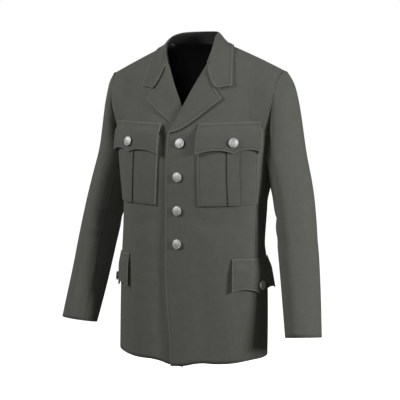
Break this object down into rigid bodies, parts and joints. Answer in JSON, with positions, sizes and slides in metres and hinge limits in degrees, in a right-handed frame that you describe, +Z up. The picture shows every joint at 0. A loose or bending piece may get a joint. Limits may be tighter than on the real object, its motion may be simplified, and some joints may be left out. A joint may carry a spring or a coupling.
{
  "type": "military uniform jacket",
  "caption": "Single-breasted wool uniform jacket, filled out as worn: notched lapels, pleated chest pockets with pointed flaps, hip flaps, long sleeves and domed silver buttons.",
  "frame": {"origin": "the middle of the neck, level with the inner ends of the shoulder seams, where the wearer's shoulders hold the jacket up", "axes": "+Z up, the front faces -Y, +X is the wearer's left"},
  "size_m": [0.6938, 0.2584, 0.8134],
  "materials": {
    "grey_green_wool": "matt milled wool cloth",
    "black_lining": "smooth black lining cloth",
    "silver_metal": "satin with a pebbled face"
  },
  "bodies": {
    "root": {"left_front": "grey_green_wool", "right_front": "grey_green_wool", "left_side_panel": "grey_green_wool", "right_side_panel": "grey_green_wool", "left_back": "grey_green_wool", "right_back": "grey_green_wool", "left_sleeve_top": "grey_green_wool", "left_sleeve_under": "grey_green_wool", "right_sleeve_top": "grey_green_wool", "right_sleeve_under": "grey_green_wool", "left_lapel": "grey_green_wool", "right_lapel": "grey_green_wool", "collar_fall": "grey_green_wool", "left_chest_pocket": "grey_green_wool", "right_chest_pocket": "grey_green_wool", "left_chest_flap": "grey_green_wool", "right_chest_flap": "grey_green_wool", "left_hip_flap": "grey_green_wool", "right_hip_flap": "grey_green_wool", "collar_stand": "black_lining", "back_lining": "black_lining", "front_button_1": "silver_metal", "front_button_2": "silver_metal", "front_button_3": "silver_metal", "front_button_4": "silver_metal", "left_chest_button": "silver_metal", "right_chest_button": "silver_metal", "left_hip_button": "silver_metal", "right_hip_button": "silver_metal"}
  },
  "joints": []
}
